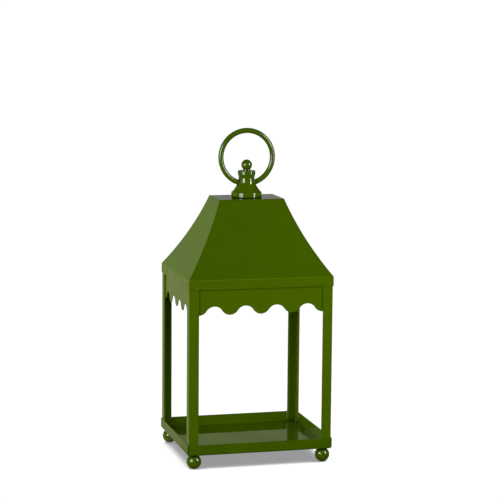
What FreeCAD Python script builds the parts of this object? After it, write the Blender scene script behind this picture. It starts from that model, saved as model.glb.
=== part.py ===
"""Open-sided table lantern in enamelled sheet metal: a folded tray on ball feet, four angle posts,
scalloped valances, a swept hip roof, and a turned finial that carries a swinging ring.

Millimetres, +Z up. The origin is the centre of the footprint on the ground, and the front faces -Y.
"""

import FreeCAD
import Part

import math
import os

from FreeCAD import Vector

# Tray, folded from one sheet
tray_width = 178.0
tray_depth = 152.0
tray_rim = 13.1
tray_sheet = 1.2
tray_bend = 1.5
corner_seam = 1.2

# Ball feet and the studs that hold them
foot_diameter = 17.6
foot_rest_flat = 4.0
foot_neck = 8.0
foot_neck_rise = 0.6
foot_inset = 9.5
foot_stud = 5.0
foot_stud_length = 9.0

# Corner posts
post_length = 205.2
post_flange = 12.0
post_sheet = 1.5
post_bend = 0.8

# Scalloped valances
valance_sheet = 0.8
valance_height = 40.1
scallop_depth = 10.3
scallop_count = 4

# Roof: four swept panels with folded skirts, closed by a flat plate
roof_sheet = 0.7
roof_rise = 89.0
roof_sweep = 3.4
roof_fold = 1.6
skirt_height = 11.3
top_width = 80.4
top_sheet = 1.0
top_edge_round = 0.4

# Finial bell, from its band up over the waist to the collar
bell_diameter = 36.8
bell_band = 6.8
bell_edge_round = 1.2
bell_rise = 16.5
bell_throat_rise = 8.2
waist_diameter = 19.3
collar_flare = 1.0
collar_flare_rise = 4.4
collar_band = 4.5
collar_edge_round = 1.0

# Finial ball on its neck
knob_diameter = 13.2
knob_neck = 8.4
knob_rise = 6.6
knob_thread = 5.0
knob_bite = 7.0

# Ring handle, and how far below the waist its cross hole lies
ring_outer = 70.6
ring_wire = 6.35
ring_hole_drop = 6.0

# Finial screw, with a driver slot in its head, and its washer
finial_screw_thread = 6.0
finial_screw_head = 11.0
finial_screw_head_height = 3.8
finial_screw_bite = 8.0
finial_screw_slot = 1.4
finial_screw_slot_depth = 1.5
finial_washer = 16.0
finial_washer_sheet = 1.4

# Clearances
thread_clearance = 0.05
screw_hole_clearance = 0.3
valance_end_gap = 0.2
eave_gap = 0.2
ring_clearance = 0.3
thread_depth_spare = 1.0


def cap_height(diameter, flat):
    """Depth lost from a ball where a flat of the given diameter is cut."""
    radius = diameter / 2
    return radius - math.sqrt(radius ** 2 - (flat / 2) ** 2)


# Heights and half widths that follow from the sizes above
foot_centre = foot_diameter / 2 - cap_height(foot_diameter, foot_rest_flat)
foot_shoulder = foot_centre + foot_diameter / 2 - cap_height(foot_diameter, foot_neck)
tray_bottom = foot_shoulder + foot_neck_rise
tray_floor = tray_bottom + tray_sheet
rim_top = tray_bottom + tray_rim

post_x = tray_width / 2 - tray_sheet
post_y = tray_depth / 2 - tray_sheet
post_bottom = tray_floor + tray_bend
post_top = post_bottom + post_length

eave_x = post_x + roof_sheet
eave_y = post_y + roof_sheet
eave = post_top + roof_fold + eave_gap
roof_top = eave + roof_rise
roof_run = eave_x - top_width / 2
top_depth = 2 * (eave_y - roof_run)

waist_level = roof_top + bell_band + bell_rise
collar_level = waist_level + collar_flare_rise
collar_top = collar_level + collar_band

ring_radius = (ring_outer - ring_wire) / 2
ring_axis = waist_level - ring_hole_drop


def vertical_cylinder(diameter, bottom, top, x=0.0, y=0.0):
    return Part.makeCylinder(diameter / 2, top - bottom, Vector(x, y, bottom))


def block(x0, y0, z0, x1, y1, z1):
    return Part.makeBox(x1 - x0, y1 - y0, z1 - z0, Vector(x0, y0, z0))


def polygon_prism(outline, bottom, top):
    """Upright prism on a closed plan outline."""
    points = [Vector(x, y, bottom) for x, y in outline]
    face = Part.Face(Part.makePolygon(points + points[:1]))
    return face.extrude(Vector(0, 0, top - bottom))


def turned(edges):
    """Solid of revolution about the Z axis from a closed outline in the XZ plane."""
    return Part.Face(Part.Wire(edges)).revolve(Vector(0, 0, 0), Vector(0, 0, 1), 360)


def lines(points):
    return [Part.LineSegment(a, b).toShape() for a, b in zip(points, points[1:])]


def arc(start, through, end):
    return Part.Arc(start, through, end).toShape()


def mirrored(shape, x_side, y_side):
    """Copy of a front-right piece at the corner or side that the signs name."""
    result = shape.copy()
    if x_side < 0:
        result = result.mirror(Vector(0, 0, 0), Vector(1, 0, 0))
    if y_side > 0:
        result = result.mirror(Vector(0, 0, 0), Vector(0, 1, 0))
    return result


corners = {
    "front_left": (-1, -1),
    "front_right": (1, -1),
    "rear_left": (-1, 1),
    "rear_right": (1, 1),
}
foot_x = tray_width / 2 - foot_inset
foot_y = tray_depth / 2 - foot_inset


def sunk_block(half_x, half_y, bottom, top, bend):
    """Block centred on the Z axis whose four bottom edges are rounded."""
    solid = block(-half_x, -half_y, bottom, half_x, half_y, top)
    return solid.makeFillet(bend, [edge for edge in solid.Edges if edge.BoundBox.ZMax < (bottom + top) / 2])


def make_tray():
    """Sheet pan folded up on four sides, with an open slit at each corner where two walls meet."""
    half_x = tray_width / 2
    half_y = tray_depth / 2
    outside = sunk_block(half_x, half_y, tray_bottom, rim_top, tray_bend + tray_sheet)
    inside = sunk_block(post_x, post_y, tray_floor, rim_top + tray_sheet, tray_bend)
    pan = outside.cut(inside)
    reach = 2 * tray_sheet
    for x_side, y_side in corners.values():
        slit = block(-reach, -corner_seam / 2, tray_bottom, reach, corner_seam / 2, rim_top)
        slit.rotate(Vector(0, 0, 0), Vector(0, 0, 1), 45 * x_side * y_side)
        slit.translate(Vector(x_side * half_x, y_side * half_y, 0))
        pan = pan.cut(slit)
    return pan


def make_foot(x, y):
    """Ball with a small flat to stand on, a short neck up to the tray and a tapped hole from above."""
    ball = Part.makeSphere(foot_diameter / 2, Vector(x, y, foot_centre))
    neck = vertical_cylinder(foot_neck, foot_centre, tray_bottom, x, y)
    foot = ball.fuse(neck).removeSplitter()
    reach = foot_diameter
    foot = foot.common(block(x - reach, y - reach, 0, x + reach, y + reach, tray_bottom))
    tapped = foot_stud + 2 * thread_clearance
    depth = foot_stud_length + thread_depth_spare
    return foot.cut(vertical_cylinder(tapped, tray_bottom - depth, tray_bottom, x, y))


def make_foot_studs():
    """Studs welded under the tray, one for each foot to screw onto."""
    studs = []
    for x_side, y_side in corners.values():
        bottom = tray_bottom - foot_stud_length
        studs.append(vertical_cylinder(foot_stud, bottom, tray_bottom, x_side * foot_x, y_side * foot_y))
    return Part.makeCompound(studs)


def make_front_right_post():
    """Angle with a slightly rounded heel, welded inside the rim just above the tray's bends."""
    inner_x = post_x - post_sheet
    inner_y = post_y - post_sheet
    outline = [
        (post_x, -post_y),
        (post_x, -post_y + post_flange),
        (inner_x, -post_y + post_flange),
        (inner_x, -inner_y),
        (post_x - post_flange, -inner_y),
        (post_x - post_flange, -post_y),
    ]
    angle = polygon_prism(outline, post_bottom, post_top)
    heel = Vector(post_x, -post_y, (post_bottom + post_top) / 2)
    bends = [edge for edge in angle.Edges if edge.CenterOfMass.isEqual(heel, post_sheet / 2)]
    return angle.makeFillet(post_bend, bends)


def scalloped_edge(span, low):
    """Wave of equal arcs along X from -span/2 to span/2 that starts and ends at its low level."""
    half_pitch = span / scallop_count / 2
    radius = (half_pitch ** 2 + scallop_depth ** 2) / (4 * scallop_depth)
    turn = 2 * math.atan2(scallop_depth, half_pitch)
    start = -span / 2
    middle = low + scallop_depth / 2
    high = low + scallop_depth
    reach = radius * math.sin(turn / 2)
    lift = radius * (1 - math.cos(turn / 2))

    def at(x, z):
        return Vector(x, 0, z)

    edges = [arc(at(start, low), at(start + reach, low + lift), at(start + half_pitch / 2, middle))]
    for index in range(1, 2 * scallop_count):
        x = start + index * half_pitch
        crest = high if index % 2 else low
        edges.append(
            arc(at(x - half_pitch / 2, middle), at(x, crest), at(x + half_pitch / 2, middle))
        )
    edges.append(arc(at(-start - half_pitch / 2, middle), at(-start - reach, low + lift), at(-start, low)))
    return edges


def make_valance(length, span):
    """Scalloped strip with its outer face in the XZ plane and its thickness towards +Y."""
    low = post_top - valance_height
    half = length / 2
    frame = [
        Vector(span / 2, 0, low),
        Vector(half, 0, low),
        Vector(half, 0, post_top),
        Vector(-half, 0, post_top),
        Vector(-half, 0, low),
        Vector(-span / 2, 0, low),
    ]
    face = Part.Face(Part.Wire(scalloped_edge(span, low) + lines(frame)))
    return face.extrude(Vector(0, valance_sheet, 0))


def make_front_valance():
    length = 2 * (post_x - post_sheet - valance_end_gap)
    strip = make_valance(length, 2 * (post_x - post_flange))
    strip.translate(Vector(0, -post_y + post_sheet, 0))
    return strip


def make_right_valance():
    """Ends short of the front and rear strips, which run into the corners."""
    length = 2 * (post_y - post_sheet - valance_sheet - valance_end_gap)
    strip = make_valance(length, 2 * (post_y - post_flange))
    strip.rotate(Vector(0, 0, 0), Vector(0, 0, 1), 90)
    strip.translate(Vector(post_x - post_sheet, 0, 0))
    return strip


def roof_section(half_length):
    """Prism along X of a panel's section: the swept sheet from its top edge at Y = 0 down to the eave at
    Y = -roof_run, and the skirt folded down there."""
    sweep_top = roof_top - top_sheet
    crown = Vector(-half_length, 0, sweep_top)
    fold = Vector(-half_length, -roof_run, eave)
    hem = Vector(-half_length, -roof_run, eave - skirt_height)
    chord = fold - crown
    inward = Vector(0, -chord.z, chord.y).normalize()
    belly = (crown + fold) * 0.5 + inward * roof_sweep
    outside = arc(crown, belly, fold)
    centre = outside.Curve.Center
    inner_radius = outside.Curve.Radius + roof_sheet

    def beneath(point):
        return centre + (point - centre).normalize() * inner_radius

    inner_y = -roof_run + roof_sheet
    inner_fold_z = centre.z - math.sqrt(inner_radius ** 2 - (inner_y - centre.y) ** 2)
    inner_crown_y = centre.y + math.sqrt(inner_radius ** 2 - (sweep_top - centre.z) ** 2)
    inner_fold = Vector(-half_length, inner_y, inner_fold_z)
    inner_crown = Vector(-half_length, inner_crown_y, sweep_top)
    inner_hem = Vector(-half_length, inner_y, hem.z)
    edges = [outside]
    edges += lines([fold, hem, inner_hem, inner_fold])
    edges.append(arc(inner_fold, beneath(belly), inner_crown))
    edges += lines([inner_crown, crown])
    prism = Part.Face(Part.Wire(edges)).extrude(Vector(2 * half_length, 0, 0))

    def edges_at(point):
        middle = Vector(0, point.y, point.z)
        return [edge for edge in prism.Edges if edge.CenterOfMass.isEqual(middle, roof_sheet / 4)]

    prism = prism.makeFillet(roof_fold, edges_at(fold))
    return prism.makeFillet(roof_fold - roof_sheet, edges_at(inner_fold))


def make_roof_panel(top_half_length):
    """Front-facing panel, mitred at both hips along 45 degree planes from the corners of the top plate."""
    spare = 4 * roof_sheet
    eave_half_length = top_half_length + roof_run
    outline = [
        (-top_half_length + spare, spare),
        (top_half_length - spare, spare),
        (eave_half_length + spare, -roof_run - spare),
        (-eave_half_length - spare, -roof_run - spare),
    ]
    wedge = polygon_prism(outline, eave - skirt_height - spare, roof_top)
    return roof_section(eave_half_length + spare).common(wedge)


def make_front_roof_panel():
    panel = make_roof_panel(top_width / 2)
    panel.translate(Vector(0, -top_depth / 2, 0))
    return panel


def make_right_roof_panel():
    panel = make_roof_panel(top_depth / 2)
    panel.rotate(Vector(0, 0, 0), Vector(0, 0, 1), 90)
    panel.translate(Vector(top_width / 2, 0, 0))
    return panel


def make_top_plate():
    half_x = top_width / 2
    half_y = top_depth / 2
    plate = block(-half_x, -half_y, roof_top - top_sheet, half_x, half_y, roof_top)
    rim = [edge for edge in plate.Edges if edge.BoundBox.ZMin > roof_top - top_sheet / 2]
    plate = plate.makeFillet(top_edge_round, rim)
    hole = finial_screw_thread + 2 * screw_hole_clearance
    return plate.cut(vertical_cylinder(hole, roof_top - top_sheet, roof_top))


def rounded_corner(start, corner, end):
    """Quarter arc of equal legs that replaces a square corner."""
    centre = start + end - corner
    return arc(start, centre + (corner - centre) * math.sqrt(0.5), end)


def make_finial_bell():
    """Turned bell, waist and collar, tapped from below for the finial screw and from above for the ball."""
    bell = bell_diameter / 2
    waist = waist_diameter / 2
    collar = waist + collar_flare
    edge = bell_edge_round
    band_top = roof_top + bell_band

    def at(radius, level):
        return Vector(radius, 0, level)

    heel = at(bell - edge, roof_top)
    side_foot = at(bell, roof_top + edge)
    side_head = at(bell, band_top - edge)
    shoulder = at(bell - edge, band_top)
    neck = at(waist, waist_level)
    lip = at(collar, collar_level)
    lip_head = at(collar, collar_top - collar_edge_round)
    crown = at(collar - collar_edge_round, collar_top)
    sweep = Part.BezierCurve()
    sweep.setPoles([shoulder, at(waist, band_top + bell_throat_rise), neck])
    flare_radius = (collar_flare ** 2 + collar_flare_rise ** 2) / (2 * collar_flare)
    flare_bulge = flare_radius - math.sqrt(flare_radius ** 2 - (collar_flare_rise / 2) ** 2)
    edges = lines([crown, at(0, collar_top), at(0, roof_top), heel])
    edges.append(rounded_corner(heel, at(bell, roof_top), side_foot))
    edges += lines([side_foot, side_head])
    edges.append(rounded_corner(side_head, at(bell, band_top), shoulder))
    edges.append(sweep.toShape())
    edges.append(arc(neck, at(waist + flare_bulge, waist_level + collar_flare_rise / 2), lip))
    edges += lines([lip, lip_head])
    edges.append(rounded_corner(lip_head, at(collar, collar_top), crown))
    body = turned(edges)
    screw_depth = finial_screw_bite + thread_depth_spare
    screw_hole = finial_screw_thread + 2 * thread_clearance
    knob_depth = knob_bite + thread_depth_spare
    knob_hole = knob_thread + 2 * thread_clearance
    body = body.cut(vertical_cylinder(screw_hole, roof_top, roof_top + screw_depth))
    return body.cut(vertical_cylinder(knob_hole, collar_top - knob_depth, collar_top))


def cut_ring_hole(bell):
    """Bell with a cross hole along X in which the ring's curved wire can turn, and the drop of the ring's
    lowest point below the hole's axis."""
    wire_underside = ring_axis - ring_wire / 2
    half_width = max(wire.BoundBox.XMax for wire in bell.slice(Vector(0, 0, 1), wire_underside))
    sag = ring_radius - math.sqrt(ring_radius ** 2 - half_width ** 2)
    hole_radius = ring_wire / 2 + sag / 2 + ring_clearance
    start = Vector(-bell_diameter, 0, ring_axis)
    hole = Part.makeCylinder(hole_radius, 2 * bell_diameter, start, Vector(1, 0, 0))
    return bell.cut(hole), sag / 2


def make_finial_ball():
    """Ball on a short neck, with a threaded spigot that screws into the collar."""
    centre = collar_top + knob_rise
    ball = Part.makeSphere(knob_diameter / 2, Vector(0, 0, centre))
    neck = vertical_cylinder(knob_neck, collar_top, centre)
    spigot = vertical_cylinder(knob_thread, collar_top - knob_bite, centre)
    return ball.fuse([neck, spigot]).removeSplitter()


def make_ring(drop):
    """Closed ring, upright in the XZ plane, with its lowest stretch inside the cross hole."""
    centre = Vector(0, 0, ring_axis - drop + ring_radius)
    return Part.makeTorus(ring_radius, ring_wire / 2, centre, Vector(0, 1, 0))


def make_finial_screw():
    """Pan-head screw, driven up through the washer and the top plate into the bell."""
    seat = roof_top - top_sheet - finial_washer_sheet
    crown = seat - finial_screw_head_height
    shank = vertical_cylinder(finial_screw_thread, seat, roof_top + finial_screw_bite)
    head = vertical_cylinder(finial_screw_head, crown, seat)
    rim = [edge for edge in head.Edges if edge.BoundBox.ZMax < (crown + seat) / 2]
    head = head.makeFillet(finial_screw_head_height / 2, rim)
    reach = finial_screw_head
    half_slot = finial_screw_slot / 2
    slot = block(-reach, -half_slot, crown, reach, half_slot, crown + finial_screw_slot_depth)
    return shank.fuse(head).removeSplitter().cut(slot)


def make_finial_washer():
    top = roof_top - top_sheet
    disc = vertical_cylinder(finial_washer, top - finial_washer_sheet, top)
    hole = finial_screw_thread + 2 * screw_hole_clearance
    return disc.cut(vertical_cylinder(hole, top - finial_washer_sheet, top))


def make_lantern():
    parts = {"tray": make_tray(), "foot_studs": make_foot_studs()}
    post = make_front_right_post()
    for corner, (x_side, y_side) in corners.items():
        parts[f"{corner}_foot"] = make_foot(x_side * foot_x, y_side * foot_y)
        parts[f"{corner}_post"] = mirrored(post, x_side, y_side)
    front_valance = make_front_valance()
    right_valance = make_right_valance()
    front_panel = make_front_roof_panel()
    right_panel = make_right_roof_panel()
    parts["front_valance"] = front_valance
    parts["rear_valance"] = mirrored(front_valance, 1, 1)
    parts["right_valance"] = right_valance
    parts["left_valance"] = mirrored(right_valance, -1, -1)
    parts["front_roof_panel"] = front_panel
    parts["rear_roof_panel"] = mirrored(front_panel, 1, 1)
    parts["right_roof_panel"] = right_panel
    parts["left_roof_panel"] = mirrored(right_panel, -1, -1)
    parts["roof_top_plate"] = make_top_plate()
    bell, ring_drop = cut_ring_hole(make_finial_bell())
    parts["finial_bell"] = bell
    parts["finial_ball"] = make_finial_ball()
    parts["ring_handle"] = make_ring(ring_drop)
    parts["finial_screw"] = make_finial_screw()
    parts["finial_washer"] = make_finial_washer()
    return parts


os.makedirs("parts", exist_ok=True)
for name, shape in make_lantern().items():
    if not shape.isValid():
        raise ValueError(f"{name} is not a valid solid")
    shape.exportStep(f"parts/{name}.step")
    print(f"{name}: {len(shape.Solids)} solid(s), {shape.Volume:.0f} mm3")
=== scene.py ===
"""Enamelled table lantern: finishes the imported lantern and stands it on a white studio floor.

Every piece keeps the size and place that the frame gives it. The folded sheet gets the soft edges that a
baked coat leaves, the welds that show through the coat are added, and each surface gets its finish.
"""

import math

import bmesh
import bpy
from bpy.props import FloatProperty, FloatVectorProperty, PointerProperty
from bpy.types import NodeSocket, Operator, Panel, PropertyGroup
from mathutils import Matrix, Vector


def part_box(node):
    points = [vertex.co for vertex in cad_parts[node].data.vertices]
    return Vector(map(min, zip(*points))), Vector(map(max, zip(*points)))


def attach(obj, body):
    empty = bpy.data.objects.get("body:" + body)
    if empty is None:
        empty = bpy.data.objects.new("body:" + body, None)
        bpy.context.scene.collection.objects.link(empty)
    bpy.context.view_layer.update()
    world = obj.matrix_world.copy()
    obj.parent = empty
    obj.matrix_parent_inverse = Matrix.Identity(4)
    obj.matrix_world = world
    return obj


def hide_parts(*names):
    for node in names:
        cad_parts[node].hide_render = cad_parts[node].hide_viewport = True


bl_info = {
    "name": "Table Lantern Finish",
    "version": (1, 0, 0),
    "blender": (4, 5, 0),
    "location": "View3D > Sidebar > Lantern",
    "description": "Finishes an enamelled table lantern around its packed frame",
    "category": "Object",
}

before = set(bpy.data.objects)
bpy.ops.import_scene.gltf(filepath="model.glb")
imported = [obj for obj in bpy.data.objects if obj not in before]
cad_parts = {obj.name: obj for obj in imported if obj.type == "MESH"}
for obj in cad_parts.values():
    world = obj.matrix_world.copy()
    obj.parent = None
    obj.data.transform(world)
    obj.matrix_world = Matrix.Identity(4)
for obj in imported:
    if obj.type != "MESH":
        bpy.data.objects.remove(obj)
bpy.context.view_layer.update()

MM = 0.001
BODY = "lantern"
SIDES = ("front", "rear", "left", "right")
CORNERS = {"front_left": (-1, -1), "front_right": (1, -1), "rear_left": (-1, 1), "rear_right": (1, 1)}


def linear(hex_colour):
    """Turn an sRGB hex colour into linear red, green and blue."""
    channels = [int(hex_colour[i:i + 2], 16) / 255 for i in (1, 3, 5)]
    return tuple(c / 12.92 if c <= 0.04045 else ((c + 0.055) / 1.055) ** 2.4 for c in channels)


class LanternFinish(PropertyGroup):
    """Sizes and colours of the coat and of the welds under it."""

    enamel: FloatVectorProperty(
        name="Enamel", description="Colour of the baked enamel", subtype="COLOR", default=linear("#425A01"),
    )
    # Darker colour: the coat's own random deeper tone, and also painted shade on the tray and the roof's
    # slopes.
    deep_enamel_and_shade: FloatVectorProperty(
        name="Deep enamel", description="Colour where the coat lies thicker", subtype="COLOR",
        default=linear("#395100"),
    )
    # Painted highlight: the lighter colour of a line along the fold of the eave, where the fold catches the
    # light.
    fold_highlight: FloatVectorProperty(
        name="Thin enamel", description="Colour where the coat is drawn thin over the fold of the eave",
        subtype="COLOR", default=linear("#486406"),
    )
    zinc: FloatVectorProperty(
        name="Zinc plating", description="Colour of the hidden plated steel", subtype="COLOR",
        default=linear("#C9CACB"),
    )
    sheet_edge: FloatProperty(
        name="Sheet edge", description="Radius that the coat leaves on a cut edge of the sheet",
        default=0.28 * MM, unit="LENGTH",
    )
    hip_round: FloatProperty(
        name="Hip rounding", description="Radius of the dressed weld along a hip of the roof",
        default=0.45 * MM, unit="LENGTH",
    )
    roof_sweep: FloatProperty(
        name="Roof sweep", description="Depth of the roof panels' sweep below a straight slope",
        default=3.4 * MM, unit="LENGTH",
    )
    skirt_height: FloatProperty(
        name="Skirt height", description="Height of the skirt below the fold of the eave", default=11.3 * MM,
        unit="LENGTH",
    )
    weld_radius: FloatProperty(
        name="Post weld", description="Radius of the weld at a post flange's free edge inside the tray",
        default=1.4 * MM, unit="LENGTH",
    )
    spot_diameter: FloatProperty(
        name="Spot weld", description="Diameter of a spot weld's mark on the skirt", default=4.6 * MM,
        unit="LENGTH",
    )
    spot_height: FloatProperty(
        name="Spot weld height", description="Height of the raised rim of a spot weld's mark",
        default=0.3 * MM, unit="LENGTH",
    )
    corner_spot: FloatProperty(
        name="Corner spot weld", description="From the skirt's corner to the spot weld on the post there",
        default=10.5 * MM, unit="LENGTH",
    )
    side_spot: FloatProperty(
        name="Side spot weld",
        description="From the middle of a side skirt to the spot welds on its valance",
        default=43 * MM, unit="LENGTH",
    )


class LanternStage(PropertyGroup):
    """Camera, lamps and floor around the lantern."""

    lens: FloatProperty(
        name="Lens", description="Focal length on a 36 mm sensor", default=132.77, unit="CAMERA",
    )
    distance: FloatProperty(
        name="Camera distance", description="From the camera to the point that it looks at", default=2.2416,
        unit="LENGTH",
    )
    bearing: FloatProperty(
        name="Camera bearing", description="Turn of the camera to the left of the lantern's front",
        default=math.radians(14.96), subtype="ANGLE",
    )
    pitch: FloatProperty(
        name="Camera pitch", description="Angle at which the camera looks down", default=math.radians(7.97),
        subtype="ANGLE",
    )
    roll: FloatProperty(
        name="Camera roll", description="Tilt of the camera about its line of sight",
        default=math.radians(0.48), subtype="ANGLE",
    )
    aim: FloatVectorProperty(
        name="Aim", description="Point that the camera looks at", default=(5.05 * MM, 0.0, 250.6 * MM),
        subtype="TRANSLATION",
    )
    ambient: FloatProperty(
        name="Ambient", description="Light from all around", default=0.03, min=0.0,
    )
    left_glow: FloatVectorProperty(
        name="Left glow", description="Reflected studio behind the lantern on the left", subtype="COLOR",
        default=linear("#919A6C"),
    )
    right_glow: FloatVectorProperty(
        name="Right glow", description="Reflected studio behind the lantern on the right", subtype="COLOR",
        default=linear("#94978D"),
    )
    mirrored_floor: FloatVectorProperty(
        name="Mirrored floor", description="Floor behind the lantern as the enamel reflects it",
        subtype="COLOR", default=linear("#938B77"),
    )
    card: FloatVectorProperty(
        name="Card", description="Low card that the tray's floor reflects", subtype="COLOR",
        default=linear("#8E976E"),
    )
    white: FloatProperty(
        name="White", description="Level of the white background, a little over what the picture can hold",
        default=1.04, min=0.0,
    )
    floor_size: FloatProperty(
        name="Floor", description="Width of the studio floor", default=8.0, unit="LENGTH",
    )
    floor_grey: FloatVectorProperty(
        name="Floor grey", description="Colour of the light that the floor throws back up", subtype="COLOR",
        default=linear("#BCBCBC"),
    )
    shadow_reach: FloatProperty(
        name="Shadow reach", description="Height above the floor that still shades it", default=0.06,
        unit="LENGTH",
    )
    shadow_grey: FloatVectorProperty(
        name="Shadow", description="Colour of the floor under the tray", subtype="COLOR",
        default=linear("#969696"),
    )


def add_node(tree, kind, inputs=None, **settings):
    """Add a node with its settings; inputs hold values or the outputs that feed them."""
    node = tree.nodes.new(kind)
    for name, value in settings.items():
        setattr(node, name, value)
    for key, value in (inputs or {}).items():
        if isinstance(value, NodeSocket):
            tree.links.new(value, node.inputs[key])
        else:
            node.inputs[key].default_value = value
    return node


def empty_material(name):
    """Make a node material with nothing in it."""
    material = bpy.data.materials.new(name)
    material.use_nodes = True
    material.node_tree.nodes.clear()
    return material, material.node_tree


CLOUD = (0.3, 0.7)  # between these lie most values of a noise
SHEET_GLOSS = (0.03, 0.06)
SHEET_WAVES = 0.03 * MM
LIGHT_COAT = (0.0, 0.25)
# Tone range of the tray: painted shade, darker low down where less light reaches.
PAINTED_SHADE_TONE = (0.6, 1.0)


def green_enamel(finish, name, roughness, depth=(0.2, 0.8), fold=None, waviness=0.0, crevice_shade=0.0):
    """Stove enamel, sprayed and baked on steel: an even saturated green under a hard clear gloss.

    The eye gets sharp reflections and hardly any change of tone. Depth is the range of the coat's tone, from
    the thinnest coat at 0 to the deepest at 1; the tray's deep range is painted shade. Fold is the height
    of a bend, with painted shade above it and a painted highlight along it. Waviness is the height of the
    sheet's long waves, and crevice_shade is how far a corner paints shade into the colour beside it.
    """
    if name in bpy.data.materials:
        return bpy.data.materials[name]
    cloud_size = 42 * MM
    enamel_ior = 1.6
    material, tree = empty_material(name)
    place = add_node(tree, "ShaderNodeTexCoord").outputs["Object"]
    cloud = add_node(tree, "ShaderNodeTexNoise", {"Vector": place, "Scale": 1 / cloud_size, "Detail": 3.0})
    usual = {"Value": cloud.outputs["Fac"], "From Min": CLOUD[0], "From Max": CLOUD[1]}
    coat = add_node(tree, "ShaderNodeMapRange", {**usual, "To Min": depth[0], "To Max": depth[1]})
    gloss = add_node(tree, "ShaderNodeMapRange", {**usual, "To Min": roughness[0], "To Max": roughness[1]})
    tone = enamel_tone(tree, finish, place, coat.outputs["Result"], fold)
    # Painted shade: ambient occlusion darkens the colour in corners and in the necks between two forms.
    if crevice_shade:
        shade = add_node(tree, "ShaderNodeAmbientOcclusion", {"Color": tone, "Distance": crevice_shade}, samples=8)
        tone = shade.outputs["Color"]
    surface = add_node(
        tree, "ShaderNodeBsdfPrincipled",
        {"Base Color": tone, "Roughness": gloss.outputs["Result"], "IOR": enamel_ior},
    )
    if waviness:
        tree.links.new(wavy_skin(tree, place, waviness), surface.inputs["Normal"])
    add_node(tree, "ShaderNodeOutputMaterial", {"Surface": surface.outputs["BSDF"]})
    return material


def enamel_tone(tree, finish, place, depth, fold):
    """Coat colour by depth, with painted shade above a fold and a painted highlight along the fold."""
    reach = 0.9 * MM
    slope_shade = 0.75
    # Painted shade: above the fold the colour is darker, for the dimmer light on the roof's slopes.
    if fold is not None:
        height = add_node(tree, "ShaderNodeSeparateXYZ", {"Vector": place}).outputs["Z"]
        slope = add_node(
            tree, "ShaderNodeMapRange", {"Value": height, "From Min": fold - reach, "From Max": fold + reach}
        )
        sunk = add_node(
            tree, "ShaderNodeMath", {0: slope.outputs["Result"], 1: slope_shade, 2: depth},
            operation="MULTIPLY_ADD",
        )
        depth = sunk.outputs["Value"]
    tone = add_node(
        tree, "ShaderNodeMix",
        {"Factor": depth, "A": (*finish.enamel, 1.0), "B": (*finish.deep_enamel_and_shade, 1.0)}, data_type="RGBA",
    )
    if fold is None:
        return tone.outputs["Result"]
    # Painted highlight: a lighter line along the fold, where the fold catches the light.
    offset = add_node(tree, "ShaderNodeMath", {0: height, 1: fold}, operation="SUBTRACT")
    away = add_node(tree, "ShaderNodeMath", {0: offset.outputs["Value"]}, operation="ABSOLUTE")
    fold_highlight_mask = add_node(
        tree, "ShaderNodeMapRange", {"Value": away.outputs["Value"], "From Min": reach, "From Max": 0.0},
        interpolation_type="SMOOTHSTEP",
    )
    drawn = add_node(
        tree, "ShaderNodeMix",
        {"Factor": fold_highlight_mask.outputs["Result"], "A": tone.outputs["Result"], "B": (*finish.fold_highlight, 1.0)},
        data_type="RGBA",
    )
    return drawn.outputs["Result"]


def wavy_skin(tree, place, waviness):
    """Normal of a coat with orange peel on sheet metal with long waves."""
    peel_spacing = 2.6 * MM
    peel_height = 0.002 * MM
    wave_spacing = 55 * MM
    wave = add_node(tree, "ShaderNodeTexNoise", {"Vector": place, "Scale": 1 / wave_spacing, "Detail": 0.0})
    sheet = add_node(tree, "ShaderNodeBump", {"Height": wave.outputs["Fac"], "Distance": waviness})
    peel = add_node(tree, "ShaderNodeTexNoise", {"Vector": place, "Scale": 1 / peel_spacing, "Detail": 1.0})
    skin = add_node(
        tree, "ShaderNodeBump",
        {"Height": peel.outputs["Fac"], "Distance": peel_height, "Normal": sheet.outputs["Normal"]},
    )
    return skin.outputs["Normal"]


def sheet_enamel(finish):
    """Light coat on the posts and valances: near mirror reflections that waver a little with the sheet."""
    return green_enamel(
        finish, "green_stove_enamel_on_sheet_steel", SHEET_GLOSS, depth=LIGHT_COAT, waviness=SHEET_WAVES
    )


def tray_enamel(finish):
    """Tray coat: painted darker than the posts as shade for the dimmer light low down; just as glossy."""
    return green_enamel(
        finish, "green_stove_enamel_on_tray_steel", SHEET_GLOSS, depth=PAINTED_SHADE_TONE, waviness=SHEET_WAVES
    )


def roof_enamel(finish):
    """Roof coat: slopes painted darker than the skirts as shade, and a painted highlight along the eave."""
    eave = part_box("front_roof_panel")[0].z + finish.skirt_height
    return green_enamel(
        finish, "green_stove_enamel_on_roof_steel", SHEET_GLOSS, depth=LIGHT_COAT, fold=eave,
        waviness=SHEET_WAVES,
    )


def turned_enamel(finish):
    """Smooth turned coat: small bright reflections, and painted shade in the necks where two forms meet."""
    gloss = (0.07, 0.1)
    return green_enamel(finish, "green_stove_enamel_on_turned_steel", gloss, crevice_shade=3.5 * MM)


def rod_enamel(finish):
    """Softer coat on the bent rod: long highlights that follow the ring round."""
    gloss = (0.16, 0.2)
    return green_enamel(finish, "green_stove_enamel_on_bent_rod", gloss)


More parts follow.
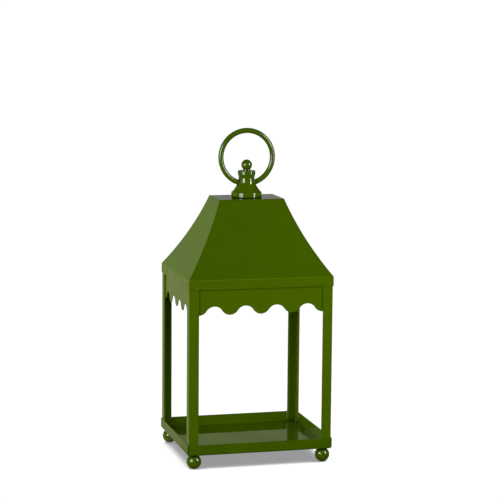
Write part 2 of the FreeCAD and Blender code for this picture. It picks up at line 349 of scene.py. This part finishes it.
def zinc_plated_steel(finish):
    """Bright zinc plating on turned steel: a cool grey metal with fine rings left by the lathe."""
    ring_spacing = 0.5 * MM
    ring_height = 0.01 * MM
    ring_wander = 0.4
    patch_size = 3 * MM
    shiniest = 0.24
    dullest = 0.4
    material, tree = empty_material("zinc_plated_steel")
    place = add_node(tree, "ShaderNodeTexCoord").outputs["Object"]
    patch = add_node(tree, "ShaderNodeTexNoise", {"Vector": place, "Scale": 1 / patch_size, "Detail": 4.0})
    usual = {"Value": patch.outputs["Fac"], "From Min": CLOUD[0], "From Max": CLOUD[1]}
    dull = add_node(tree, "ShaderNodeMapRange", {**usual, "To Min": shiniest, "To Max": dullest})
    rings = add_node(
        tree, "ShaderNodeTexWave",
        {"Vector": place, "Scale": 1 / (ring_spacing * 2 * math.pi), "Distortion": ring_wander},
        wave_type="RINGS", rings_direction="Z",
    )
    turned = add_node(tree, "ShaderNodeBump", {"Height": rings.outputs["Fac"], "Distance": ring_height})
    surface = add_node(
        tree, "ShaderNodeBsdfPrincipled",
        {
            "Base Color": (*finish.zinc, 1.0),
            "Metallic": 1.0,
            "Roughness": dull.outputs["Result"],
            "Normal": turned.outputs["Normal"],
        },
    )
    add_node(tree, "ShaderNodeOutputMaterial", {"Surface": surface.outputs["BSDF"]})
    return material


def finish_node(name, material):
    """Give a CAD node its finish."""
    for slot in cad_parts[name].material_slots:
        slot.material = material


def new_piece(name, work, material, body=BODY):
    """Turn a finished bmesh into a piece that rides on a body of the lantern."""
    mesh = bpy.data.meshes.new(name)
    work.to_mesh(mesh)
    work.free()
    mesh.materials.append(material)
    mesh.shade_smooth()
    piece = bpy.data.objects.new(name, mesh)
    bpy.context.scene.collection.objects.link(piece)
    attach(piece, body)
    return piece


def coated_copy(node, finish, material):
    """Replace a sheet metal node by a copy whose cut edges are rounded by the coat."""
    merge = 0.002 * MM
    flat = math.radians(0.4)
    sharp = math.radians(35)
    edge_segments = 3
    face_weight = 80
    work = bmesh.new()
    work.from_mesh(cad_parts[node].data)
    bmesh.ops.remove_doubles(work, verts=work.verts, dist=merge)
    bmesh.ops.dissolve_limit(work, angle_limit=flat, verts=work.verts, edges=work.edges)
    edges = [edge for edge in work.edges if edge.is_manifold and edge.calc_face_angle() > sharp]
    bmesh.ops.bevel(
        work, geom=edges, offset=finish.sheet_edge, segments=edge_segments, profile=0.5, affect="EDGES",
        material=-1, clamp_overlap=False,
    )
    piece = new_piece(f"{node}_enamelled", work, material)
    piece.modifiers.new("Flat faces stay flat", "WEIGHTED_NORMAL").weight = face_weight
    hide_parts(node)


def sweep_bead(work, path, radii):
    """Draw a level circle along a path, with a radius of its own at each point, and close both ends."""
    sides = 14
    start = bmesh.ops.create_circle(
        work, cap_ends=True, segments=sides, radius=radii[0], matrix=Matrix.Translation(path[0])
    )
    ring = list({edge for vert in start["verts"] for edge in vert.link_edges})
    for here, there, radius, wider in zip(path, path[1:], radii, radii[1:]):
        drawn = bmesh.ops.extrude_edge_only(work, edges=ring)["geom"]
        verts = [item for item in drawn if isinstance(item, bmesh.types.BMVert)]
        ring = [item for item in drawn if isinstance(item, bmesh.types.BMEdge)]
        ring = [edge for edge in ring if all(vert in verts for vert in edge.verts)]
        bmesh.ops.translate(work, verts=verts, vec=there - here)
        bmesh.ops.scale(work, verts=verts, vec=[wider / radius] * 3, space=Matrix.Translation(-there))
    bmesh.ops.contextual_create(work, geom=ring)


class LANTERN_OT_tray(Operator):
    """Round the edges of the folded tray and enamel it"""

    bl_idname = "lantern.tray"
    bl_label = "Tray"

    def execute(self, context):
        finish = context.scene.lantern_finish
        coated_copy("tray", finish, tray_enamel(finish))
        return {"FINISHED"}


class LANTERN_OT_posts(Operator):
    """Round the edges of the four angle posts and enamel them"""

    bl_idname = "lantern.posts"
    bl_label = "Posts"

    def execute(self, context):
        finish = context.scene.lantern_finish
        for corner in CORNERS:
            coated_copy(f"{corner}_post", finish, sheet_enamel(finish))
        return {"FINISHED"}


class LANTERN_OT_valances(Operator):
    """Round the edges of the four scalloped valances and enamel them"""

    bl_idname = "lantern.valances"
    bl_label = "Valances"

    def execute(self, context):
        finish = context.scene.lantern_finish
        for side in SIDES:
            coated_copy(f"{side}_valance", finish, sheet_enamel(finish))
        return {"FINISHED"}


class LANTERN_OT_roof(Operator):
    """Round the edges of the four roof panels and the top plate and enamel them"""

    bl_idname = "lantern.roof"
    bl_label = "Roof"

    def execute(self, context):
        finish = context.scene.lantern_finish
        for side in SIDES:
            coated_copy(f"{side}_roof_panel", finish, roof_enamel(finish))
        coated_copy("roof_top_plate", finish, roof_enamel(finish))
        return {"FINISHED"}


def hip_path(x_side, y_side, finish):
    """Points down a corner of the roof: along the sweep from the top plate to the fold, then the skirt."""
    steps = 16
    inset = finish.hip_round
    plate_low, plate_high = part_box("roof_top_plate")
    panel_low, panel_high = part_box("front_roof_panel")
    run = panel_high.x - plate_high.x
    drop = plate_low.z - panel_low.z - finish.skirt_height
    slope = Vector((run, -drop))
    radius = slope.length ** 2 / (8 * finish.roof_sweep) + finish.roof_sweep / 2
    half_turn = math.asin(slope.length / 2 / radius)
    along = slope.normalized()
    outwards = Vector((-along.y, along.x))
    centre = slope / 2 + outwards * (radius - finish.roof_sweep)
    turns = [half_turn * (2 * step / steps - 1) for step in range(steps + 1)]
    line = [centre + (along * math.sin(turn) - outwards * math.cos(turn)) * radius for turn in turns]
    line.append(Vector((run, panel_low.z - plate_low.z)))
    return [
        Vector((
            x_side * (plate_high.x + out - inset),
            y_side * (plate_high.y + out - inset),
            plate_low.z + rise,
        ))
        for out, rise in line
    ]


class LANTERN_OT_hip_seams(Operator):
    """Run a dressed weld down each corner of the roof and its skirt"""

    bl_idname = "lantern.hip_seams"
    bl_label = "Hip seams"

    def execute(self, context):
        finish = context.scene.lantern_finish
        for corner, (x_side, y_side) in CORNERS.items():
            work = bmesh.new()
            path = hip_path(x_side, y_side, finish)
            sweep_bead(work, path, [finish.hip_round] * len(path))
            bmesh.ops.recalc_face_normals(work, faces=work.faces)
            new_piece(f"{corner}_hip_seam", work, roof_enamel(finish))
        return {"FINISHED"}


class LANTERN_OT_post_welds(Operator):
    """Weld the free edges of every post's flanges to the tray's rim"""

    bl_idname = "lantern.post_welds"
    bl_label = "Post welds"

    def execute(self, context):
        finish = context.scene.lantern_finish
        seat = finish.weld_radius / 6
        rim_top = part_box("tray")[1].z
        for corner, (x_side, y_side) in CORNERS.items():
            low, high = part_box(f"{corner}_post")
            inner_x, outer_x = sorted((low.x, high.x), key=abs)
            inner_y, outer_y = sorted((low.y, high.y), key=abs)
            feet = {
                "side": (outer_x - x_side * seat, inner_y - y_side * seat),
                "face": (inner_x - x_side * seat, outer_y - y_side * seat),
            }
            for flange, (x, y) in feet.items():
                self.add_weld(f"{corner}_post_{flange}_weld", x, y, low.z, rim_top, finish)
        return {"FINISHED"}

    def add_weld(self, name, x, y, bottom, top, finish):
        """Draw an upright weld of a few overlapping drops that thins out at both ends."""
        drops = 3
        steps = 18
        waist = 0.78
        swell = 0.22
        tip = 0.12
        taper = 3.2
        filled = 0.94
        levels = [step / steps for step in range(steps + 1)]
        lumps = [waist + swell * abs(math.sin(math.pi * drops * level)) for level in levels]
        ends = [min(1.0, math.sqrt(level * (1 - level)) * taper + tip) for level in levels]
        radii = [finish.weld_radius * lump * end for lump, end in zip(lumps, ends)]
        height = top - bottom
        path = [Vector((x, y, bottom + height * filled * level)) for level in levels]
        work = bmesh.new()
        sweep_bead(work, path, radii)
        bmesh.ops.recalc_face_normals(work, faces=work.faces)
        new_piece(name, work, sheet_enamel(finish))


def spot_mark(work, place, diameter, height):
    """Turn one spot weld's mark: a shallow dish inside a low raised rim, sunk a little into the sheet."""
    sunk = 0.1 * MM
    sides = 24
    outline = [(0.0, 0.15), (0.45, 0.25), (0.72, 1.0), (0.86, 0.75), (1.0, 0.0)]
    points = [(share * diameter / 2, 0.0, lift * height) for share, lift in outline]
    points.append((diameter / 2, 0.0, -sunk))
    points.append((0.0, 0.0, -sunk))
    before = set(work.verts)
    verts = [work.verts.new(point) for point in points]
    edges = [work.edges.new(pair) for pair in zip(verts, verts[1:])]
    bmesh.ops.spin(
        work, geom=verts + edges, cent=(0, 0, 0), axis=(0, 0, 1), angle=2 * math.pi, steps=sides,
        use_merge=True,
    )
    turned = [vert for vert in work.verts if vert not in before]
    bmesh.ops.transform(work, matrix=place, verts=turned)


class LANTERN_OT_spot_welds(Operator):
    """Mark the skirt where it is spot welded to the posts and the valances"""

    bl_idname = "lantern.spot_welds"
    bl_label = "Spot welds"

    def execute(self, context):
        merge = 0.001 * MM
        finish = context.scene.lantern_finish
        for side, turn in (("front", 0), ("right", 90), ("rear", 180), ("left", 270)):
            low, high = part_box(f"{side}_roof_panel")
            along_x = side in ("front", "rear")
            half = high.x if along_x else high.y
            face = -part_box("front_roof_panel")[0].y if along_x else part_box("right_roof_panel")[1].x
            level = low.z + finish.skirt_height / 2
            to_side = Matrix.Rotation(math.radians(turn), 4, "Z")
            spots = [half - finish.corner_spot, finish.corner_spot - half]
            if not along_x:
                spots += [-finish.side_spot, 0.0, finish.side_spot]
            work = bmesh.new()
            for spot in spots:
                place = to_side @ Matrix.Translation((spot, -face, level))
                place = place @ Matrix.Rotation(math.pi / 2, 4, "X")
                spot_mark(work, place, finish.spot_diameter, finish.spot_height)
            bmesh.ops.remove_doubles(work, verts=work.verts, dist=merge)
            bmesh.ops.recalc_face_normals(work, faces=work.faces)
            new_piece(f"{side}_spot_welds", work, sheet_enamel(finish))
        return {"FINISHED"}


class LANTERN_OT_finial(Operator):
    """Enamel the turned bell and ball of the finial"""

    bl_idname = "lantern.finial"
    bl_label = "Finial"

    def execute(self, context):
        for node in ("finial_bell", "finial_ball"):
            finish_node(node, turned_enamel(context.scene.lantern_finish))
        return {"FINISHED"}


class LANTERN_OT_ring(Operator):
    """Enamel the carrying ring"""

    bl_idname = "lantern.ring"
    bl_label = "Ring"

    def execute(self, context):
        finish_node("ring_handle", rod_enamel(context.scene.lantern_finish))
        return {"FINISHED"}


class LANTERN_OT_feet(Operator):
    """Enamel the four ball feet"""

    bl_idname = "lantern.feet"
    bl_label = "Feet"

    def execute(self, context):
        for corner in CORNERS:
            finish_node(f"{corner}_foot", turned_enamel(context.scene.lantern_finish))
        return {"FINISHED"}


class LANTERN_OT_hardware(Operator):
    """Plate the studs, the screw and the washer"""

    bl_idname = "lantern.hardware"
    bl_label = "Hardware"

    def execute(self, context):
        zinc = zinc_plated_steel(context.scene.lantern_finish)
        for node in ("foot_studs", "finial_screw", "finial_washer"):
            finish_node(node, zinc)
        return {"FINISHED"}


def softbox(name, width, height, away, bearing, level, radiance, mirrored=True):
    """Hang a softbox, with a grid that keeps its light on the lantern.

    Lengths are in metres, and the bearing is in degrees to the right of the lantern's front. A softbox that
    isn't mirrored lights the enamel without a reflection in it.
    """
    spread = math.radians(70)
    target = Vector((0, 0, 0.2))
    turn = math.radians(bearing)
    data = bpy.data.lights.new(name, "AREA")
    data.shape = "RECTANGLE"
    data.size = width
    data.size_y = height
    data.spread = spread
    narrowing = 1 - spread / 2 / math.tan(spread / 2)
    data.energy = radiance * narrowing * math.pi * width * height
    lamp = bpy.data.objects.new(name, data)
    lamp.visible_camera = False
    lamp.visible_glossy = mirrored
    lamp.location = (away * math.sin(turn), -away * math.cos(turn), level)
    lamp.rotation_euler = (target - lamp.location).to_track_quat("-Z", "Y").to_euler()
    bpy.context.scene.collection.objects.link(lamp)


def shaded_floor(tree, stage, across):
    """Floor that the camera sees: white, and grey where the lantern shuts off the light from above.

    The shade's edge is softer to the left of the lantern, where it trails off.
    """
    darkest = 0.29
    edge = 0.5
    trailing_edge = 0.62
    trail_start = -0.07
    trail_end = -0.1
    shade = add_node(tree, "ShaderNodeAmbientOcclusion", {"Distance": stage.shadow_reach}, samples=16)
    trail = add_node(
        tree, "ShaderNodeMapRange",
        {
            "Value": across, "From Min": trail_start, "From Max": trail_end,
            "To Min": edge, "To Max": trailing_edge,
        },
    )
    light = add_node(
        tree, "ShaderNodeMapRange",
        {"Value": shade.outputs["AO"], "From Min": darkest, "From Max": trail.outputs["Result"]},
        interpolation_type="SMOOTHSTEP",
    )
    colour = add_node(
        tree, "ShaderNodeMix",
        {"Factor": light.outputs["Result"], "A": (*stage.shadow_grey, 1.0), "B": (1.0, 1.0, 1.0, 1.0)},
        data_type="RGBA",
    )
    return add_node(tree, "ShaderNodeEmission", {"Color": colour.outputs["Result"], "Strength": stage.white})


def mirrored_floor(tree, stage, depth):
    """Floor in reflections: dark in front of the lantern, warm behind it and dim far behind."""
    middle = 0.1
    far_start = 1.7
    far_end = 2.2
    far_level = 0.1
    behind = add_node(
        tree, "ShaderNodeMapRange", {"Value": depth, "From Min": -middle, "From Max": middle},
        interpolation_type="SMOOTHSTEP",
    )
    far = add_node(
        tree, "ShaderNodeMapRange",
        {"Value": depth, "From Min": far_start, "From Max": far_end, "To Min": 1.0, "To Max": far_level},
        interpolation_type="SMOOTHSTEP",
    )
    level = add_node(
        tree, "ShaderNodeMath", {0: behind.outputs["Result"], 1: far.outputs["Result"]}, operation="MULTIPLY"
    )
    glow = {"Color": (*stage.mirrored_floor, 1.0), "Strength": level.outputs["Value"]}
    return add_node(tree, "ShaderNodeEmission", glow)


def studio_floor(stage):
    """White floor that shows only the shade close under the lantern, and that is clear from below."""
    material, tree = empty_material("white_studio_floor")
    rays = add_node(tree, "ShaderNodeLightPath")
    place = add_node(tree, "ShaderNodeTexCoord").outputs["Object"]
    place = add_node(tree, "ShaderNodeSeparateXYZ", {"Vector": place})
    seen = shaded_floor(tree, stage, place.outputs["X"])
    mirrored = mirrored_floor(tree, stage, place.outputs["Y"])
    lit = add_node(tree, "ShaderNodeBsdfDiffuse", {"Color": (*stage.floor_grey, 1.0)})
    bounce = add_node(
        tree, "ShaderNodeMixShader",
        {0: rays.outputs["Is Glossy Ray"], 1: lit.outputs["BSDF"], 2: mirrored.outputs["Emission"]},
    )
    above = add_node(
        tree, "ShaderNodeMixShader",
        {0: rays.outputs["Is Camera Ray"], 1: bounce.outputs["Shader"], 2: seen.outputs["Emission"]},
    )
    back = add_node(tree, "ShaderNodeNewGeometry")
    clear = add_node(tree, "ShaderNodeBsdfTransparent")
    both = add_node(
        tree, "ShaderNodeMixShader",
        {0: back.outputs["Backfacing"], 1: above.outputs["Shader"], 2: clear.outputs["BSDF"]},
    )
    add_node(tree, "ShaderNodeOutputMaterial", {"Surface": both.outputs["Shader"]})
    return material


def studio_world(stage):
    """White to the camera. In reflections the studio glows behind the lantern and is dark in front of it."""
    side_blend = 0.25
    glow_start = 0.8
    glow_full = 0.94
    world = bpy.data.worlds.new("white_studio")
    world.use_nodes = True
    tree = world.node_tree
    tree.nodes.clear()
    rays = add_node(tree, "ShaderNodeLightPath")
    heading = add_node(tree, "ShaderNodeTexCoord").outputs["Generated"]
    heading = add_node(tree, "ShaderNodeSeparateXYZ", {"Vector": heading})
    side = add_node(
        tree, "ShaderNodeMapRange",
        {"Value": heading.outputs["X"], "From Min": -side_blend, "From Max": side_blend},
    )
    glow = add_node(
        tree, "ShaderNodeMix",
        {"Factor": side.outputs["Result"], "A": (*stage.left_glow, 1.0), "B": (*stage.right_glow, 1.0)},
        data_type="RGBA",
    )
    behind = add_node(
        tree, "ShaderNodeMapRange",
        {"Value": heading.outputs["Y"], "From Min": glow_start, "From Max": glow_full},
        interpolation_type="SMOOTHSTEP",
    )
    mirrored = add_node(
        tree, "ShaderNodeBackground",
        {"Color": glow.outputs["Result"], "Strength": behind.outputs["Result"]},
    )
    ambient = add_node(tree, "ShaderNodeBackground", {"Color": (1, 1, 1, 1), "Strength": stage.ambient})
    seen = add_node(tree, "ShaderNodeBackground", {"Color": (1, 1, 1, 1), "Strength": stage.white})
    unseen = add_node(
        tree, "ShaderNodeMixShader",
        {
            0: rays.outputs["Is Glossy Ray"],
            1: ambient.outputs["Background"],
            2: mirrored.outputs["Background"],
        },
    )
    sky = add_node(
        tree, "ShaderNodeMixShader",
        {0: rays.outputs["Is Camera Ray"], 1: unseen.outputs["Shader"], 2: seen.outputs["Background"]},
    )
    add_node(tree, "ShaderNodeOutputWorld", {"Surface": sky.outputs["Shader"]})
    bpy.context.scene.world = world


def add_card(stage):
    """Stand a low card behind the lantern, seen only in the enamel's reflections."""
    width = 1.05
    height = 0.3
    centre = (0.38, 0.9, height / 2)
    material, tree = empty_material("low_card")
    glow = add_node(tree, "ShaderNodeEmission", {"Color": (*stage.card, 1.0)})
    add_node(tree, "ShaderNodeOutputMaterial", {"Surface": glow.outputs["Emission"]})
    work = bmesh.new()
    bmesh.ops.create_grid(work, x_segments=1, y_segments=1, size=0.5)
    place = Matrix.Translation(centre) @ Matrix.Rotation(math.pi / 2, 4, "X")
    bmesh.ops.transform(work, matrix=place @ Matrix.Diagonal((width, height, 1, 1)), verts=work.verts)
    card = stage_object("low_card", work, material)
    card.visible_camera = False
    card.visible_diffuse = False
    card.visible_shadow = False


def stage_object(name, work, material):
    """Turn a bmesh into a part of the stage."""
    mesh = bpy.data.meshes.new(name)
    work.to_mesh(mesh)
    work.free()
    mesh.materials.append(material)
    piece = bpy.data.objects.new(name, mesh)
    bpy.context.scene.collection.objects.link(piece)
    return piece


class LANTERN_OT_stage(Operator):
    """Set up the floor, the lamps and the camera"""

    bl_idname = "lantern.stage"
    bl_label = "Stage"

    def execute(self, context):
        stage = context.scene.lantern_stage
        context.scene.view_settings.view_transform = "Standard"
        studio_world(stage)
        work = bmesh.new()
        bmesh.ops.create_grid(work, x_segments=1, y_segments=1, size=stage.floor_size / 2)
        stage_object("studio_floor", work, studio_floor(stage))
        add_card(stage)
        self.add_lamps()
        self.add_camera(context, stage)
        return {"FINISHED"}

    def add_lamps(self):
        softbox("left_softbox", width=0.58, height=0.62, away=1.05, bearing=-54.5, level=0.46, radiance=13.6)
        softbox("right_softbox", width=0.17, height=0.54, away=0.75, bearing=48, level=0.46, radiance=24.2)
        softbox(
            "rear_left_softbox", width=0.5, height=0.5, away=1.0, bearing=-120, level=0.2, radiance=19.0,
            mirrored=False,
        )
        softbox(
            "rear_right_softbox", width=0.5, height=0.5, away=1.0, bearing=140, level=0.2, radiance=14.0,
            mirrored=False,
        )
        softbox(
            "low_front_softbox", width=0.3, height=0.3, away=0.8, bearing=-5, level=0.2, radiance=3.0,
            mirrored=False,
        )

    def add_camera(self, context, stage):
        data = bpy.data.cameras.new("camera")
        data.lens = stage.lens
        data.sensor_width = 36.0
        camera = bpy.data.objects.new("camera", data)
        turn = Matrix.Rotation(-stage.bearing, 4, "Z") @ Matrix.Rotation(math.pi / 2 - stage.pitch, 4, "X")
        turn = turn @ Matrix.Rotation(stage.roll, 4, "Z")
        back = Matrix.Translation((0, 0, stage.distance))
        camera.matrix_world = Matrix.Translation(stage.aim) @ turn @ back
        context.scene.collection.objects.link(camera)
        context.scene.camera = camera


class LANTERN_PT_finish(Panel):
    """Lists the lantern's pieces and their settings"""

    bl_idname = "LANTERN_PT_finish"
    bl_label = "Table Lantern"
    bl_space_type = "VIEW_3D"
    bl_region_type = "UI"
    bl_category = "Lantern"

    def draw(self, context):
        for settings in (context.scene.lantern_finish, context.scene.lantern_stage):
            for name in settings.__annotations__:
                self.layout.prop(settings, name)
        for operator in OPERATORS:
            self.layout.operator(operator.bl_idname)


OPERATORS = (
    LANTERN_OT_tray,
    LANTERN_OT_posts,
    LANTERN_OT_valances,
    LANTERN_OT_roof,
    LANTERN_OT_hip_seams,
    LANTERN_OT_post_welds,
    LANTERN_OT_spot_welds,
    LANTERN_OT_finial,
    LANTERN_OT_ring,
    LANTERN_OT_feet,
    LANTERN_OT_hardware,
    LANTERN_OT_stage,
)
CLASSES = (LanternFinish, LanternStage, *OPERATORS, LANTERN_PT_finish)


def register():
    for cls in CLASSES:
        bpy.utils.register_class(cls)
    bpy.types.Scene.lantern_finish = PointerProperty(type=LanternFinish)
    bpy.types.Scene.lantern_stage = PointerProperty(type=LanternStage)


def unregister():
    del bpy.types.Scene.lantern_stage
    del bpy.types.Scene.lantern_finish
    for cls in reversed(CLASSES):
        bpy.utils.unregister_class(cls)


def main():
    register()
    bpy.ops.lantern.tray()
    bpy.ops.lantern.posts()
    bpy.ops.lantern.valances()
    bpy.ops.lantern.roof()
    bpy.ops.lantern.hip_seams()
    bpy.ops.lantern.post_welds()
    bpy.ops.lantern.spot_welds()
    bpy.ops.lantern.finial()
    bpy.ops.lantern.ring()
    bpy.ops.lantern.feet()
    bpy.ops.lantern.hardware()
    bpy.ops.lantern.stage()


if __name__ == "__main__":
    main()
